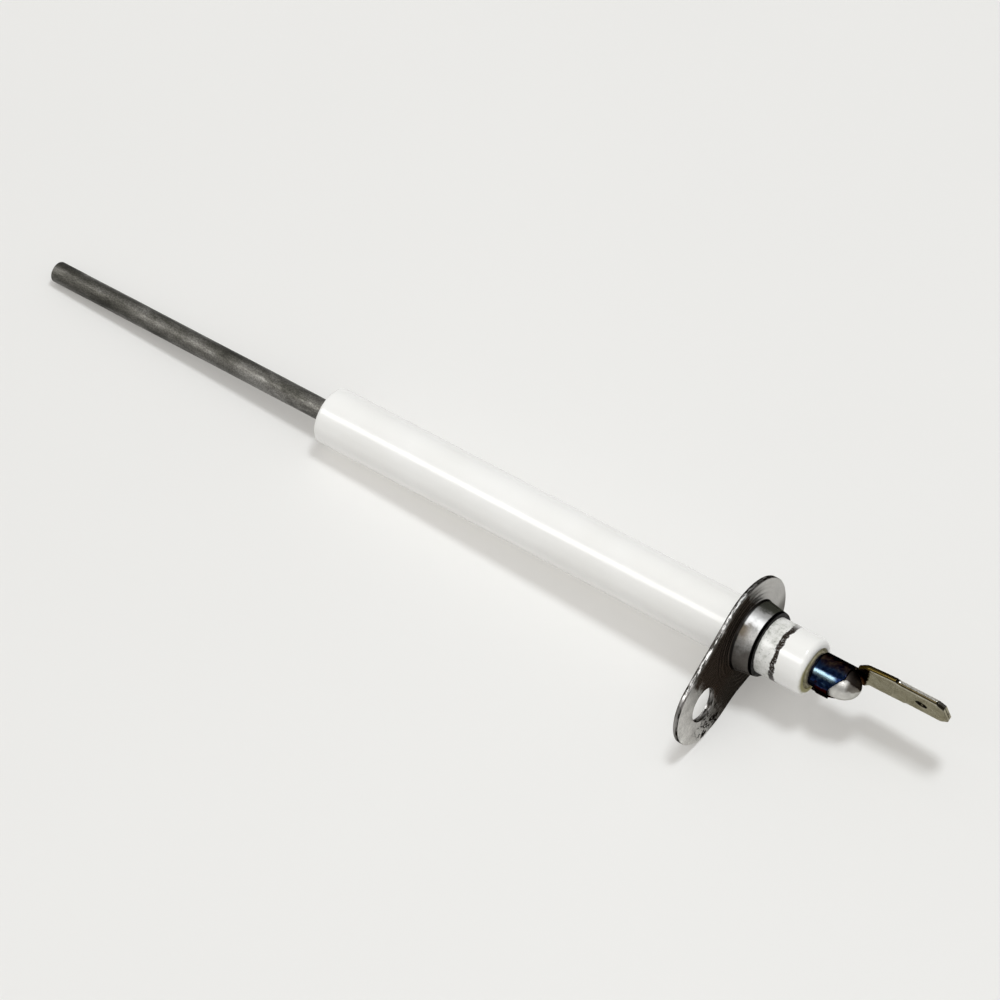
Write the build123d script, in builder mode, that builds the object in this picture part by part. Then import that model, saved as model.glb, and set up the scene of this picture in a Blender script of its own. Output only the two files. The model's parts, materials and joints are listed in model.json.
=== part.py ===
from build123d import *
import os
from math import asin, cos, sin

# Flame electrode: a bare heat-resisting rod in a glazed ceramic insulator, held by a
# stamped flange with a drawn collar, with a spade terminal on a steel post at the rear.
# X runs along the electrode. The rod tip points to -X and the spade terminal to +X.
# The origin is on the axis, at the flat front face of the flange.
# Z is up while the electrode lies on the straight lower flank of its flange.

# Rod
rod_radius = 1.5
rod_tip_x = -114.45
rod_rear_x = 12.6
rod_tip_chamfer = 0.3

# Ceramic insulator
ceramic_radius = 4.0
ceramic_front_x = -66.85
ceramic_rear_x = 10.75
ceramic_bore_radius = 1.65
ceramic_front_edge_radius = 0.5
ceramic_rear_edge_radius = 0.8
ceramic_rear_radius = 3.9
ceramic_taper_length = 0.52

# Cement pocket at the front mouth of the ceramic
front_pocket_radius = 2.3
front_pocket_depth = 2.0
front_cement_recess = 0.2

# Pocket for the terminal post and its cement at the rear mouth of the ceramic
post_pocket_radius = 2.3
post_pocket_x = 7.4
rear_pocket_radius = 2.85
rear_pocket_depth = 1.4
rear_cement_recess = 0.15

# Flange plate: a large round end about the electrode and a small one about the hole
plate_thickness = 0.8
plate_big_radius = 8.0
plate_small_radius = 5.65
hole_distance = 11.25
hole_radius = 2.4
plate_edge_radius = 0.12

# Collar drawn out of the plate
collar_foot_radius = 5.0
collar_rim_radius = 4.5
collar_rim_x = 3.8
collar_foot_bend_radius = 0.3
collar_entry_radius = 0.6
collar_rim_round = 0.15
seal_seat_radius = 4.28
seal_seat_depth = 0.6

# Terminal post: carries the rod end inside and the terminal barrel outside
post_radius = 2.2
post_front_x = 7.7
post_rear_x = 17.45
post_dome_length = 2.9
post_front_chamfer = 0.2

# Spade terminal: a rolled barrel with a folded blade on the side away from the flange hole.
# It sits turned a few degrees about the axis from the flange. Angles at the seam are
# measured from the side away from the blade.
terminal_turn = 3.5
strip_thickness = 0.4
barrel_front_x = 11.15
barrel_end_x = 15.15
barrel_end_slope = 0.3
seam_start_angle = 12.0
seam_end_angle = 20.0
notch_start_angle = -38.0
notch_rear_x = 12.3
cradle_rear_x = 17.0
cradle_half_angle = 45.0
blade_root_x = 14.2
blade_root_half_width = 1.9
neck_start_x = 16.4
neck_start_half_width = 3.0
neck_widest_x = 18.0
neck_half_width = 3.5
shoulder_x = 22.2
tab_half_width = 3.15
tab_tip_x = 28.95
tab_tip_chamfer = 1.15
tab_hole_x = 25.2
tab_hole_radius = 0.85

# Two circles are the same when their radii agree this closely
radius_tolerance = 0.01

# The flange flank is straight and tangent to both round ends. Rolling the flange by the
# angle of that flank lays the flank level, facing down.
flank_angle = asin((plate_big_radius - plate_small_radius) / hole_distance)
to_hole = Vector(0, -cos(flank_angle), -sin(flank_angle))
along = Vector(1, 0, 0)


def across(x, x_dir=to_hole):
    """Plane normal to the electrode at x, by default with its x axis toward the hole."""
    return Plane(origin=(x, 0, 0), x_dir=x_dir, z_dir=along)


from_its_base = (Align.CENTER, Align.CENTER, Align.MIN)


def add_cylinder(radius, start_x, end_x, mode=Mode.ADD):
    """Add or cut a round bar along the electrode between two stations."""
    with Locations(across(start_x)):
        Cylinder(radius, end_x - start_x, align=from_its_base, mode=mode)


def circles_of(piece, radius):
    """The circular edges of a piece that have one radius."""
    circles = piece.edges().filter_by(GeomType.CIRCLE)
    return circles.filter_by(lambda edge: abs(edge.radius - radius) < radius_tolerance)


def export(piece, name):
    piece.part.label = name
    export_step(piece.part, f"parts/{name}.step")


os.makedirs("parts", exist_ok=True)

# Rod: runs from the bare tip through the ceramic into the blind bore of the post
with BuildPart() as electrode_rod:
    add_cylinder(rod_radius, rod_tip_x, rod_rear_x)
    chamfer(electrode_rod.edges().group_by(Axis.X)[0], rod_tip_chamfer)

# Ceramic: one tube with a cement pocket in front and a stepped post pocket behind. It
# tapers at the flange's front face to the slightly thinner part that the collar grips.
with BuildPart() as ceramic_insulator:
    add_cylinder(ceramic_radius, ceramic_front_x, 0)
    with Locations(across(0)):
        Cone(
            ceramic_radius, ceramic_rear_radius, ceramic_taper_length, align=from_its_base
        )
    add_cylinder(ceramic_rear_radius, ceramic_taper_length, ceramic_rear_x)
    circles_along = ceramic_insulator.edges().filter_by(GeomType.CIRCLE).group_by(Axis.X)
    fillet(circles_along[0], ceramic_front_edge_radius)
    circles_along = ceramic_insulator.edges().filter_by(GeomType.CIRCLE).group_by(Axis.X)
    fillet(circles_along[-1], ceramic_rear_edge_radius)
    add_cylinder(ceramic_bore_radius, ceramic_front_x, ceramic_rear_x, Mode.SUBTRACT)
    add_cylinder(
        front_pocket_radius,
        ceramic_front_x,
        ceramic_front_x + front_pocket_depth,
        Mode.SUBTRACT,
    )
    add_cylinder(post_pocket_radius, post_pocket_x, ceramic_rear_x, Mode.SUBTRACT)
    add_cylinder(
        rear_pocket_radius,
        ceramic_rear_x - rear_pocket_depth,
        ceramic_rear_x,
        Mode.SUBTRACT,
    )

# Front cement: fills the pocket between rod and ceramic, set back from the front face
with BuildPart() as front_cement_seal:
    front_cement_x = ceramic_front_x + front_cement_recess
    front_pocket_floor_x = ceramic_front_x + front_pocket_depth
    add_cylinder(front_pocket_radius, front_cement_x, front_pocket_floor_x)
    add_cylinder(rod_radius, front_cement_x, front_pocket_floor_x, Mode.SUBTRACT)

# Rear cement: fills the pocket between post and ceramic, set back from the rear face
with BuildPart() as rear_cement_seal:
    rear_pocket_floor_x = ceramic_rear_x - rear_pocket_depth
    rear_cement_x = ceramic_rear_x - rear_cement_recess
    add_cylinder(rear_pocket_radius, rear_pocket_floor_x, rear_cement_x)
    add_cylinder(post_radius, rear_pocket_floor_x, rear_cement_x, Mode.SUBTRACT)

# Flange: the plate outline is the hull of its two round ends
with BuildPart() as mounting_flange:
    with BuildSketch(across(0)):
        Circle(plate_big_radius)
        with Locations((hole_distance, 0)):
            Circle(plate_small_radius)
        make_hull()
    extrude(amount=plate_thickness)
    fillet(mounting_flange.edges(), plate_edge_radius)
    # Drawn collar: a slightly tapering wall with a bent foot, turned about the axis
    with BuildSketch(Plane.XY):
        with BuildLine():
            Polyline(
                (plate_thickness / 2, 0),
                (plate_thickness / 2, collar_foot_radius + collar_foot_bend_radius),
                (plate_thickness, collar_foot_radius + collar_foot_bend_radius),
            )
            RadiusArc(
                (plate_thickness, collar_foot_radius + collar_foot_bend_radius),
                (plate_thickness + collar_foot_bend_radius, collar_foot_radius),
                -collar_foot_bend_radius,
            )
            Polyline(
                (plate_thickness + collar_foot_bend_radius, collar_foot_radius),
                (collar_rim_x, collar_rim_radius),
                (collar_rim_x, 0),
                (plate_thickness / 2, 0),
            )
        make_face()
    revolve(axis=Axis.X)
    # Through opening for the ceramic, with the rounded entry that drawing leaves
    add_cylinder(ceramic_rear_radius, 0, collar_rim_x, Mode.SUBTRACT)
    front_mouth = circles_of(mounting_flange, ceramic_rear_radius).group_by(Axis.X)[0]
    fillet(front_mouth, collar_entry_radius)
    fillet(circles_of(mounting_flange, collar_rim_radius), collar_rim_round)
    # Seat for the seal ring in the mouth of the collar
    add_cylinder(
        seal_seat_radius, collar_rim_x - seal_seat_depth, collar_rim_x, Mode.SUBTRACT
    )
    # Screw hole
    with BuildSketch(across(0)):
        with Locations((hole_distance, 0)):
            Circle(hole_radius)
    extrude(amount=plate_thickness, mode=Mode.SUBTRACT)

# Seal ring: packs the mouth of the collar against the ceramic
with BuildPart() as collar_seal_ring:
    add_cylinder(seal_seat_radius, collar_rim_x - seal_seat_depth, collar_rim_x)
    add_cylinder(
        ceramic_rear_radius, collar_rim_x - seal_seat_depth, collar_rim_x, Mode.SUBTRACT
    )

# Post: domed at the rear, with a blind bore that takes the rod end
with BuildPart() as terminal_post:
    dome_base_x = post_rear_x - post_dome_length
    add_cylinder(post_radius, post_front_x, dome_base_x)
    chamfer(terminal_post.edges().group_by(Axis.X)[0], post_front_chamfer)
    with BuildSketch(Plane.XY):
        with Locations((dome_base_x, 0)):
            Ellipse(post_dome_length, post_radius)
            upper_rear_quarter = (Align.MIN, Align.MIN)
            Rectangle(
                post_dome_length, post_radius, align=upper_rear_quarter, mode=Mode.INTERSECT
            )
    revolve(axis=Axis.X)
    add_cylinder(rod_radius, post_front_x, rod_rear_x, Mode.SUBTRACT)

# Spade terminal: barrel rolled round the post, open at its seam, then a cradle that leads
# into the flat neck and the standard push-on tab, where the strip is folded double
barrel_radius = post_radius + strip_thickness
blade_thickness = 2 * strip_thickness
blade_far_side = post_radius + blade_thickness
from_blade = to_hole.rotate(Axis.X, terminal_turn)
blade_plane = Plane(origin=from_blade * -blade_far_side, x_dir=along, z_dir=from_blade)
end_cut = Plane(
    origin=(barrel_end_x, 0, 0), z_dir=along + from_blade * barrel_end_slope
)
with BuildPart() as spade_terminal:
    add_cylinder(barrel_radius, barrel_front_x, cradle_rear_x)
    split(bisect_by=end_cut, keep=Keep.BOTTOM)
    # Cradle: the part of the barrel wall beside the blade, carried on past the barrel
    with BuildSketch(across(barrel_front_x, from_blade)):
        Circle(barrel_radius)
        with BuildLine():
            reach = 2 * barrel_radius
            lower_side = PolarLine((0, 0), reach, 180 - cradle_half_angle)
            upper_side = PolarLine((0, 0), reach, 180 + cradle_half_angle)
            Line(lower_side @ 1, upper_side @ 1)
        make_face(mode=Mode.INTERSECT)
    extrude(amount=cradle_rear_x - barrel_front_x)
    # Neck and tab as one flat, folded blade
    with BuildSketch(blade_plane):
        with BuildLine():
            half_outline = [
                (blade_root_x, blade_root_half_width),
                (neck_start_x, neck_start_half_width),
                (neck_widest_x, neck_half_width),
                (shoulder_x, neck_half_width),
                (shoulder_x, tab_half_width),
                (tab_tip_x - tab_tip_chamfer, tab_half_width),
                (tab_tip_x, tab_half_width - tab_tip_chamfer),
            ]
            mirrored = [(x, -y) for x, y in reversed(half_outline)]
            Polyline(*half_outline, *mirrored, half_outline[0])
        make_face()
        with Locations((tab_hole_x, 0)):
            Circle(tab_hole_radius, mode=Mode.SUBTRACT)
    extrude(amount=blade_thickness)
    # Seam on the side away from the blade, wide in front where one edge is notched
    for front_x, rear_x, start_angle in (
        (barrel_front_x, notch_rear_x, notch_start_angle),
        (notch_rear_x, cradle_rear_x, seam_start_angle),
    ):
        with BuildSketch(across(front_x, from_blade)):
            with BuildLine():
                near_edge = PolarLine((0, 0), reach, start_angle)
                far_edge = PolarLine((0, 0), reach, seam_end_angle)
                Line(near_edge @ 1, far_edge @ 1)
            make_face()
        extrude(amount=rear_x - front_x, mode=Mode.SUBTRACT)
    # Bore for the post
    add_cylinder(post_radius, barrel_front_x, cradle_rear_x, Mode.SUBTRACT)

export(electrode_rod, "electrode_rod")
export(ceramic_insulator, "ceramic_insulator")
export(front_cement_seal, "front_cement_seal")
export(rear_cement_seal, "rear_cement_seal")
export(mounting_flange, "mounting_flange")
export(collar_seal_ring, "collar_seal_ring")
export(terminal_post, "terminal_post")
export(spade_terminal, "spade_terminal")
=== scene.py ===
import json
from math import acos, atan2, cos, exp, hypot, pi, radians, sin, sqrt, tan

import bmesh
import bpy
from mathutils import Matrix, Vector, kdtree, noise
from mathutils.geometry import delaunay_2d_cdt


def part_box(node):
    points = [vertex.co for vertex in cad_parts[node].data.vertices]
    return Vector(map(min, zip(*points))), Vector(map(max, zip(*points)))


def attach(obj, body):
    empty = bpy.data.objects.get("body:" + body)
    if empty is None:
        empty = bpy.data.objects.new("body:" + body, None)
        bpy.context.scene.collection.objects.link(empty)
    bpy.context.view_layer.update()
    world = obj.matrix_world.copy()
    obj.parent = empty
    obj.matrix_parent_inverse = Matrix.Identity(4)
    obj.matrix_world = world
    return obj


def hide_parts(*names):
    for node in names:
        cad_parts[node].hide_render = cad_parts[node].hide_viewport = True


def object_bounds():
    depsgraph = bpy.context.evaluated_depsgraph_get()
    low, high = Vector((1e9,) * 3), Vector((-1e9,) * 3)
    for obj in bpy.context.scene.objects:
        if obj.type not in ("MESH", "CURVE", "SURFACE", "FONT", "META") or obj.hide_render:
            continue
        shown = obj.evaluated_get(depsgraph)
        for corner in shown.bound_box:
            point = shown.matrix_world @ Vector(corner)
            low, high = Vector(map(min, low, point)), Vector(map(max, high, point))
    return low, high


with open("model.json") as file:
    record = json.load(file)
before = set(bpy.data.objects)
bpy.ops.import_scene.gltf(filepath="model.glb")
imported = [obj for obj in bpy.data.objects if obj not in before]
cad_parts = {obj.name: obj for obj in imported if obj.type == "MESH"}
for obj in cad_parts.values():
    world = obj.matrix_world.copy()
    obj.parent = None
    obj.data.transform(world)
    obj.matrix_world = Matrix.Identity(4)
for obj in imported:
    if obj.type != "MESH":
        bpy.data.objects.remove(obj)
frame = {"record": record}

cad_low, cad_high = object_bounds()

# ---------------------------------------------------------------- sizes, in metres
MM = 0.001
SEGMENTS = 144

# Places and radii that the CAD model already holds
mounts = {mount["name"]: mount for mount in frame["record"]["mounts"]}
along = Vector((1, 0, 0))
hole_place = Vector(mounts["screw_hole"]["pos_m"])
to_hole = Vector((0, hole_place.y, hole_place.z))
hole_distance = to_hole.length
to_hole.normalize()
tab_place = Vector(mounts["terminal_tab"]["pos_m"])
from_blade = -Vector((0, tab_place.y, tab_place.z)).normalized()
hole_radius = mounts["screw_hole"]["dims"]["r_mm"] * MM


def span(node):
    """Start and end along the electrode, and the largest radius, of a round CAD node."""
    low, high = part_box(node)
    return low.x, high.x, (high.y - low.y) / 2


rod_tip_x, rod_rear_x, rod_radius = span("electrode_rod")
ceramic_front_x, ceramic_rear_x, ceramic_radius = span("ceramic_insulator")
front_cement_x, front_pocket_x, front_pocket_radius = span("front_cement_seal")
rear_pocket_x, rear_cement_x, rear_pocket_radius = span("rear_cement_seal")
gap_ring_front_x, collar_rim_x, gap_ring_radius = span("collar_seal_ring")
post_front_x, post_rear_x, post_radius = span("terminal_post")
barrel_front_x, tab_tip_x, _ = span("spade_terminal")

# Ceramic
ceramic_rear_radius = 3.9 * MM
ceramic_bore_radius = 1.65 * MM
ceramic_front_edge = 0.55 * MM
ceramic_rear_edge = 0.85 * MM
ceramic_taper = 0.52 * MM
post_pocket_radius = post_radius + 0.1 * MM
post_pocket_x = post_front_x - 0.3 * MM

# Flange plate and its drawn collar
plate_thickness = 0.8 * MM
plate_big_radius = 8.0 * MM
plate_small_radius = 5.65 * MM
collar_foot_radius = 5.0 * MM
collar_rim_radius = 4.5 * MM
collar_foot_bend = 0.22 * MM
collar_entry = 0.6 * MM

# Post
dome_length = 2.9 * MM

# Terminal strip, rolled into the barrel and folded double in the blade
strip = 0.38 * MM
fold_gap = 0.04 * MM
blade_thickness = 2 * strip + fold_gap
barrel_inner_radius = post_radius + 0.02 * MM
barrel_mid_radius = barrel_inner_radius + strip / 2
fold_outer = blade_thickness / 2
fold_mid = fold_outer - strip / 2
neck_start_x = 15.95 * MM
lap_front_x = 12.3 * MM
near_seam_x = 14.1 * MM
far_seam_x = 13.7 * MM
root_start_x = 15.2 * MM
root_end_x = 18.2 * MM
shoulder_x = 22.2 * MM
shoulder_soft = 0.12 * MM
tab_half_width = 3.15 * MM
neck_half_width = 3.5 * MM
root_half_width = 1.9 * MM
far_root_half_width = 3.3 * MM
lap_rise = 0.12 * MM
tab_hole_radius = 0.85 * MM
tab_hole_x = tab_place.x


# ---------------------------------------------------------------- mesh helpers
def rounded(corners, steps=6, closed=False):
    """Points through (x, y, radius) corners, each corner rounded by its own radius."""
    points = []
    for index, (x, y, radius) in enumerate(corners):
        corner = Vector((x, y))
        at_end = not closed and index in (0, len(corners) - 1)
        if radius == 0 or at_end:
            points.append(corner)
            continue
        before = Vector(corners[index - 1][:2]) - corner
        after = Vector(corners[(index + 1) % len(corners)][:2]) - corner
        before.normalize()
        after.normalize()
        half = before.angle(after) / 2
        centre = corner + (before + after).normalized() * radius / sin(half)
        first = corner + before * radius / tan(half) - centre
        last = corner + after * radius / tan(half) - centre
        turn = first.angle(last)
        for step in range(steps + 1):
            share = step / steps
            mixed = first * sin((1 - share) * turn) + last * sin(share * turn)
            points.append(centre + mixed / sin(turn))
    return points


def spaced(points, spacing, closed=False):
    """The same path with no stretch longer than the spacing."""
    result = []
    count = len(points) if closed else len(points) - 1
    for index in range(count):
        start, end = points[index], points[(index + 1) % len(points)]
        pieces = max(1, round((end - start).length / spacing))
        for piece in range(pieces):
            result.append(start.lerp(end, piece / pieces))
    if not closed:
        result.append(points[-1])
    return result


def arc(centre, radius, start, end, spacing):
    """Points on an arc about a plane point, angles in radians, end point left out."""
    count = max(2, round(abs(end - start) * radius / spacing))
    angles = [start + (end - start) * step / count for step in range(count)]
    return [Vector((centre[0] + radius * cos(a), centre[1] + radius * sin(a))) for a in angles]


def ring_point(x, radius, angle, zero=to_hole):
    """A point about the electrode's axis. The angle runs from zero toward the top."""
    side = along.cross(zero)
    return along * x + radius * (cos(angle) * zero - sin(angle) * side)


def finish_mesh(name, mesh_builder, material, slot, *nodes):
    """Turns a bmesh into a piece that rides on the frame and stands for CAD nodes."""
    bmesh.ops.remove_doubles(mesh_builder, verts=mesh_builder.verts, dist=1e-7)
    bmesh.ops.recalc_face_normals(mesh_builder, faces=mesh_builder.faces)
    mesh = bpy.data.meshes.new(name)
    mesh_builder.to_mesh(mesh)
    mesh_builder.free()
    mesh.polygons.foreach_set("use_smooth", [True] * len(mesh.polygons))
    piece = bpy.data.objects.new(name, mesh)
    bpy.context.scene.collection.objects.link(piece)
    shading = piece.modifiers.new("even_shading", "WEIGHTED_NORMAL")
    shading.keep_sharp = True
    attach(piece, "root")
    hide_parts(*nodes)
    mesh.materials.append(material)


def lathe(profile, shift=None):
    """A mesh turned about the electrode's axis from (x, radius) points.

    A profile that starts and ends on the axis is closed there. Any other profile joins
    its last point to its first. shift(x, radius, angle) moves a point outward.
    """
    turned = bmesh.new()
    on_axis = 1e-9
    rings = []
    for x, radius in profile:
        if radius < on_axis:
            rings.append([turned.verts.new((x, 0, 0))])
            continue
        ring = []
        for step in range(SEGMENTS):
            angle = 2 * pi * step / SEGMENTS
            extra = shift(x, radius, angle) if shift else 0
            ring.append(turned.verts.new(ring_point(x, radius + extra, angle)))
        rings.append(ring)
    closed = len(rings[0]) > 1
    pairs = list(zip(rings, rings[1:] + rings[:1])) if closed else list(zip(rings, rings[1:]))
    for first, second in pairs:
        for step in range(SEGMENTS):
            after = (step + 1) % SEGMENTS
            corners = [
                first[step % len(first)],
                first[after % len(first)],
                second[after % len(second)],
                second[step % len(second)],
            ]
            turned.faces.new(list(dict.fromkeys(corners)))
    return turned


def inset_loop(loop, amount):
    """A closed loop moved to its left, into the material, by an amount."""
    moved = []
    for index, point in enumerate(loop):
        before = (point - loop[index - 1]).normalized()
        after = (loop[(index + 1) % len(loop)] - point).normalized()
        left_before = Vector((-before.y, before.x))
        left_after = Vector((-after.y, after.x))
        mitre = (left_before + left_after) / (1 + left_before.dot(left_after))
        moved.append(point + mitre * amount)
    return moved


def inside(point, loops):
    """Whether a plane point lies in the area that the loops bound."""
    within = False
    for loop in loops:
        previous = loop[-1]
        for current in loop:
            if (current.y > point.y) != (previous.y > point.y):
                rise = (point.y - previous.y) / (current.y - previous.y)
                if point.x < previous.x + rise * (current.x - previous.x):
                    within = not within
            previous = current
    return within


def filled(loops, seeds, clearance):
    """Triangles that fill the area between the loops, through the seeds well inside it."""
    points = [point for loop in loops for point in loop]
    edges = []
    for loop in loops:
        first = len(edges)
        edges += [(first + i, first + (i + 1) % len(loop)) for i in range(len(loop))]
    border = kdtree.KDTree(len(points))
    for index, point in enumerate(points):
        border.insert((point.x, point.y, 0), index)
    border.balance()
    for seed in seeds:
        if border.find((seed.x, seed.y, 0))[2] > clearance and inside(seed, loops):
            points.append(seed)
    places, _, faces, origins, _, _ = delaunay_2d_cdt(points, edges, [], 0, 1e-8, True)
    triangles = []
    for face in faces:
        centre = sum((places[corner] for corner in face), Vector((0, 0))) / len(face)
        if inside(centre, loops):
            triangles.append([origins[corner][0] for corner in face])
    return points, triangles


def stamped(borders, seeds, clearance, place):
    """A closed mesh of a sheet, bounded by loops with the material on their left.

    Each border is (loop, rows). The rows are (inset, depth) steps that lead from the
    front face round the sheet's edge to the back face. place(point, depth) puts a point
    of the flat sheet in space.
    """
    sheet = bmesh.new()
    row_verts = []
    for loop, rows in borders:
        row_verts.append([])
        for inset, depth in rows:
            ring = [sheet.verts.new(place(point, depth)) for point in inset_loop(loop, inset)]
            row_verts[-1].append(ring)
        for first, second in zip(row_verts[-1], row_verts[-1][1:]):
            for index in range(len(loop)):
                after = (index + 1) % len(loop)
                quad = (first[index], first[after], second[after], second[index])
                sheet.faces.new(quad)
    for end in (0, -1):
        loops = [inset_loop(loop, rows[end][0]) for loop, rows in borders]
        depth = borders[0][1][end][1]
        points, triangles = filled(loops, seeds, clearance)
        verts = [vert for rows in row_verts for vert in rows[end]]
        verts += [sheet.verts.new(place(point, depth)) for point in points[len(verts):]]
        for triangle in triangles:
            sheet.faces.new([verts[corner] for corner in triangle])
    return sheet


def edge_rows(front_round, back_round, thickness, steps=4):
    """Rows round a sheet's edge, rounded at its front and at its back."""
    quarter = [pi / 2 * step / steps for step in range(steps + 1)]
    front = [(front_round * (1 - sin(a)), front_round * (1 - cos(a))) for a in quarter]
    back = [(back_round * (1 - cos(a)), thickness - back_round * (1 - sin(a))) for a in quarter]
    return front + back


def grid(low, high, spacing):
    """Plane points on a triangular grid between two corners."""
    points = []
    rise = spacing * sqrt(3) / 2
    for row in range(int((high[1] - low[1]) / rise) + 1):
        start = low[0] + (spacing / 2 if row % 2 else 0)
        for column in range(int((high[0] - start) / spacing) + 1):
            points.append(Vector((start + column * spacing, low[1] + row * rise)))
    return points


def smooth(low, high, value):
    """0 below low, 1 above high, and an even turn between them."""
    share = min(1, max(0, (value - low) / (high - low)))
    return share * share * (3 - 2 * share)


def waves(scale, height, seed):
    """A shift for lathe: slow, shallow unevenness of a fired or drawn surface."""

    def shift(x, radius, angle):
        place = Vector((x * scale / 4, cos(angle) * radius * scale, sin(angle) * radius * scale))
        return height * noise.noise(place + Vector((seed, 0, 0)))

    return shift


# ---------------------------------------------------------------- materials
class Finish:
    """One node material, with short calls for the nodes that it is made of."""

    def __init__(self, name, **fixed):
        self.material = bpy.data.materials.new(name)
        self.material.use_nodes = True
        self.tree = self.material.node_tree
        self.shader = self.tree.nodes["Principled BSDF"]
        for socket, value in fixed.items():
            self.shader.inputs[socket.replace("_", " ")].default_value = value
        coordinates = self.tree.nodes.new("ShaderNodeTexCoord")
        self.place = coordinates.outputs["Object"]
        self.facing = coordinates.outputs["Normal"]

    def feed(self, socket, value):
        if isinstance(value, bpy.types.NodeSocket):
            self.tree.links.new(value, socket)
        else:
            socket.default_value = value

    def set(self, socket, value):
        self.feed(self.shader.inputs[socket], value)

    def stretched(self, x, y, z):
        """Object coordinates, scaled by a factor along each axis."""
        node = self.tree.nodes.new("ShaderNodeMapping")
        self.feed(node.inputs["Vector"], self.place)
        node.inputs["Scale"].default_value = (x, y, z)
        return node.outputs["Vector"]

    def noise(self, scale, detail=4, roughness=0.55, vector=None, distortion=0.0):
        node = self.tree.nodes.new("ShaderNodeTexNoise")
        self.feed(node.inputs["Vector"], vector or self.place)
        node.inputs["Scale"].default_value = scale
        node.inputs["Detail"].default_value = detail
        node.inputs["Roughness"].default_value = roughness
        node.inputs["Distortion"].default_value = distortion
        return node.outputs["Fac"]

    def both(self, *shares):
        """The product of several masks."""
        result = shares[0]
        for share in shares[1:]:
            result = self.math("MULTIPLY", result, share)
        return result

    def math(self, operation, first, second=0.0):
        node = self.tree.nodes.new("ShaderNodeMath")
        node.operation = operation
        self.feed(node.inputs[0], first)
        self.feed(node.inputs[1], second)
        return node.outputs[0]

    def between(self, value, low, high, at_low=0.0, at_high=1.0):
        """A soft step of the value from low to high."""
        node = self.tree.nodes.new("ShaderNodeMapRange")
        node.interpolation_type = "SMOOTHSTEP"
        self.feed(node.inputs["Value"], value)
        node.inputs["From Min"].default_value = low
        node.inputs["From Max"].default_value = high
        node.inputs["To Min"].default_value = at_low
        node.inputs["To Max"].default_value = at_high
        return node.outputs["Result"]

    def band(self, value, start, end, soft):
        """1 from start to end, 0 outside, with soft edges."""
        rise = self.between(value, start - soft, start + soft)
        fall = self.between(value, end - soft, end + soft, 1.0, 0.0)
        return self.math("MULTIPLY", rise, fall)

    def shades(self, value, *stops):
        """A colour ramp through (position, (r, g, b)) stops."""
        node = self.tree.nodes.new("ShaderNodeValToRGB")
        elements = node.color_ramp.elements
        while len(elements) < len(stops):
            elements.new(0.5)
        for element, (position, colour) in zip(elements, stops):
            element.position = position
            element.color = (*colour, 1)
        self.feed(node.inputs["Fac"], value)
        return node.outputs["Color"]

    def blend(self, factor, first, second, mode="MIX"):
        node = self.tree.nodes.new("ShaderNodeMix")
        node.data_type = "RGBA"
        node.blend_type = mode
        self.feed(node.inputs["Factor"], factor)
        for socket, value in ((node.inputs[6], first), (node.inputs[7], second)):
            self.feed(socket, value if isinstance(value, bpy.types.NodeSocket) else (*value, 1))
        return node.outputs[2]

    def along_axis(self):
        """Millimetres along the electrode from the flange's front face."""
        node = self.tree.nodes.new("ShaderNodeSeparateXYZ")
        self.feed(node.inputs[0], self.place)
        return self.math("DIVIDE", node.outputs["X"], MM)

    def dot(self, vector, direction):
        node = self.tree.nodes.new("ShaderNodeVectorMath")
        node.operation = "DOT_PRODUCT"
        self.feed(node.inputs[0], vector)
        node.inputs[1].default_value = direction
        return node.outputs["Value"]

    def toward(self, direction):
        """Millimetres from the axis in a direction across the electrode."""
        return self.dot(self.place, direction / MM)

    def faces(self, direction):
        """How squarely the surface faces a direction, from -1 to 1."""
        return self.dot(self.facing, direction)

    def distance(self, first, second):
        squares = self.math("ADD", self.both(first, first), self.both(second, second))
        return self.math("SQRT", squares)

    def around(self, zero=from_blade):
        """Degrees about the axis from a direction, toward the top."""
        near = self.toward(zero)
        top = self.toward(-along.cross(zero))
        turn = self.math("ARCTAN2", top, near)
        return self.math("MULTIPLY", turn, 180 / pi)

    def bump(self, height, distance, strength=1.0, base=None):
        node = self.tree.nodes.new("ShaderNodeBump")
        node.inputs["Strength"].default_value = strength
        node.inputs["Distance"].default_value = distance
        self.feed(node.inputs["Height"], height)
        if base:
            self.feed(node.inputs["Normal"], base)
        return node.outputs["Normal"]


def rod_finish():
    """Drawn heat-resisting rod with a thin olive-grey oxide, streaked along its length."""
    rod = Finish("heat_resisting_rod", Metallic=0.6)
    streaks = rod.noise(900, 5, 0.6, rod.stretched(0.06, 1, 1))
    patches = rod.noise(330, 4, 0.6, rod.stretched(0.45, 1, 1), 0.3)
    grain = rod.noise(5200, 3, 0.6)
    mixed = rod.math("ADD", rod.both(streaks, 0.35), rod.both(patches, 0.65))
    colour = rod.shades(
        mixed,
        (0.38, (0.042, 0.040, 0.032)),
        (0.47, (0.090, 0.086, 0.073)),
        (0.54, (0.155, 0.149, 0.133)),
        (0.64, (0.290, 0.282, 0.262)),
    )
    # Painted light: lighter on the band that faces the lamps, darker round the other sides
    lit_band = rod.band(rod.around(to_hole), 38.0, 112.0, 26.0)
    colour = rod.blend(1.0, colour, rod.between(lit_band, 0.0, 1.0, 0.62, 1.1), "MULTIPLY")
    speckle = rod.between(grain, 0.40, 0.62, 0.62, 1.18)
    rod.set("Base Color", rod.blend(1.0, colour, speckle, "MULTIPLY"))
    rod.set("Roughness", rod.between(mixed, 0.35, 0.65, 0.60, 0.38))
    lines = rod.bump(streaks, 0.04 * MM, 0.5)
    rod.set("Normal", rod.bump(grain, 0.012 * MM, 0.6, lines))
    return rod.material


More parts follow.
